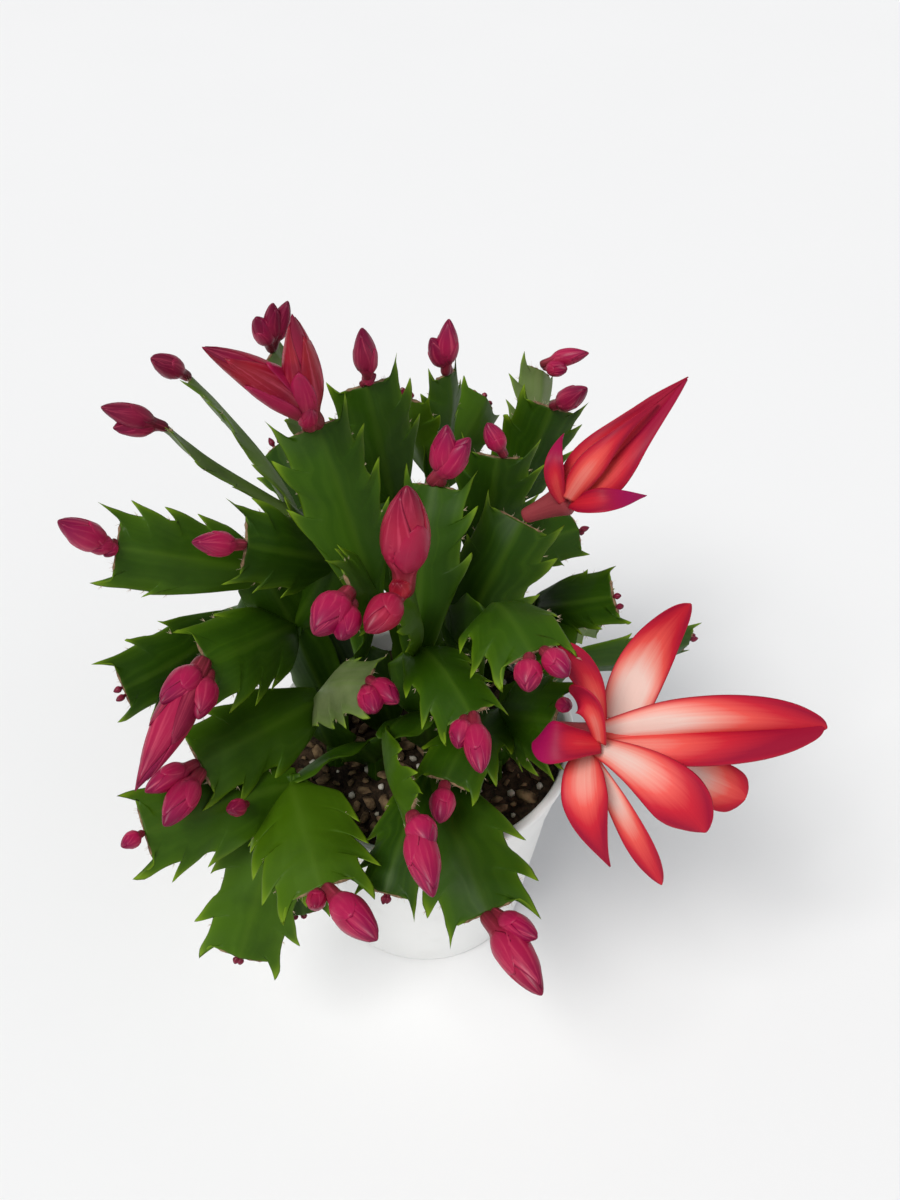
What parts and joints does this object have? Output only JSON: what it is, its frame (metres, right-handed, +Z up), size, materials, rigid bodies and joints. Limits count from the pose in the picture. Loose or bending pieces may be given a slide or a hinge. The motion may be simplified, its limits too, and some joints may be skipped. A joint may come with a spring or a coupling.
{
  "type": "potted christmas cactus",
  "caption": "Christmas cactus in bud and flower, with arching chains of flat clawed pads, in a round tapered nursery pot of soil.",
  "frame": {"origin": "centre of the pot's flat base, on the surface it stands on", "axes": "+Z up along the pot's axis; -Y towards the side it is looked at from; +X to the right of that side, where the open flower is"},
  "size_m": [0.2113, 0.2181, 0.2569],
  "materials": {
    "pot": "satin",
    "soil": "matte",
    "pads": "satin",
    "buds": "satin",
    "petals": "satin"
  },
  "bodies": {
    "root": {"pot": "pot", "soil": "soil", "stem_back_left": "pads", "stem_tall_left": "pads", "stem_top": "pads", "stem_middle": "pads", "stem_right_top": "pads", "stem_back_right": "pads", "stem_right": "pads", "stem_front_right": "pads", "stem_front": "pads", "stem_front_left": "pads", "stem_left_upper": "pads", "stem_left_lower": "pads", "bud_a_upper": "buds", "buds_a_lower": "buds", "buds_b": "buds", "buds_c_long": "buds", "buds_e": "buds", "buds_g": "buds", "buds_jj": "buds", "bud_kk": "buds", "bud_i": "buds", "buds_k": "buds", "buds_bb": "buds", "bud_cc": "buds", "buds_u1": "buds", "buds_gg": "buds", "buds_dd": "buds", "buds_ff": "buds", "bud_ff_edge": "buds", "buds_x": "buds", "buds_w": "buds", "buds_u2": "buds", "bud_r": "buds", "buds_t": "buds", "buds_s": "buds", "buds_p": "buds", "bud_q": "buds", "bud_z": "buds", "flower_open": "petals", "flower_half_open": "petals"}
  },
  "joints": []
}
